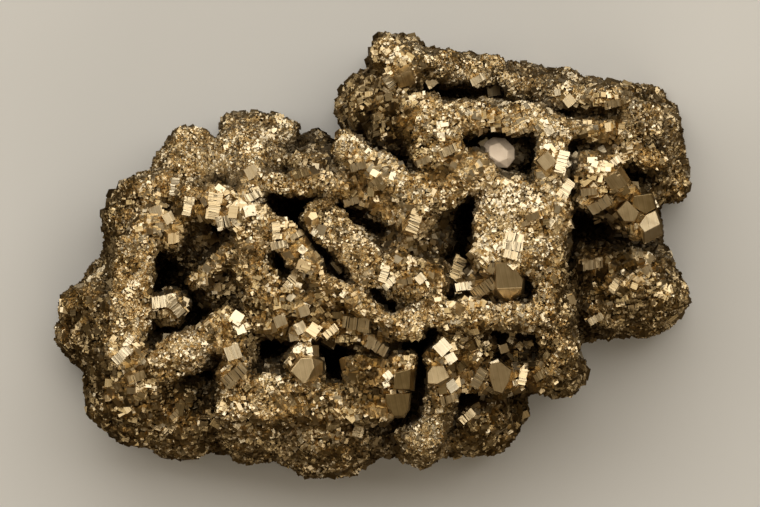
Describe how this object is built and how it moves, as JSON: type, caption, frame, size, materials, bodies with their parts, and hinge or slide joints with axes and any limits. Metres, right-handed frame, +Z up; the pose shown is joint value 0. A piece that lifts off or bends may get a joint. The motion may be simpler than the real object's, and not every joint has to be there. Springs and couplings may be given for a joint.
{
  "type": "pyrite specimen",
  "caption": "Natural pyrite cluster: crusted intersecting blades with dark hollows and larger striated crystals, cut flat behind, lying on its cut.",
  "frame": {"origin": "middle of the bounding box in X and Y, at the height of the flat cut that it lies on", "axes": "+Z up from the cut towards the bladed face, +X along the specimen's length, +Y across it towards the peak"},
  "size_m": [0.1272, 0.0895, 0.0491],
  "materials": {
    "pyrite": "brassy metallic crystal faces, browner and duller in the hollows"
  },
  "bodies": {
    "root": {"pyrite": "pyrite"}
  },
  "joints": []
}
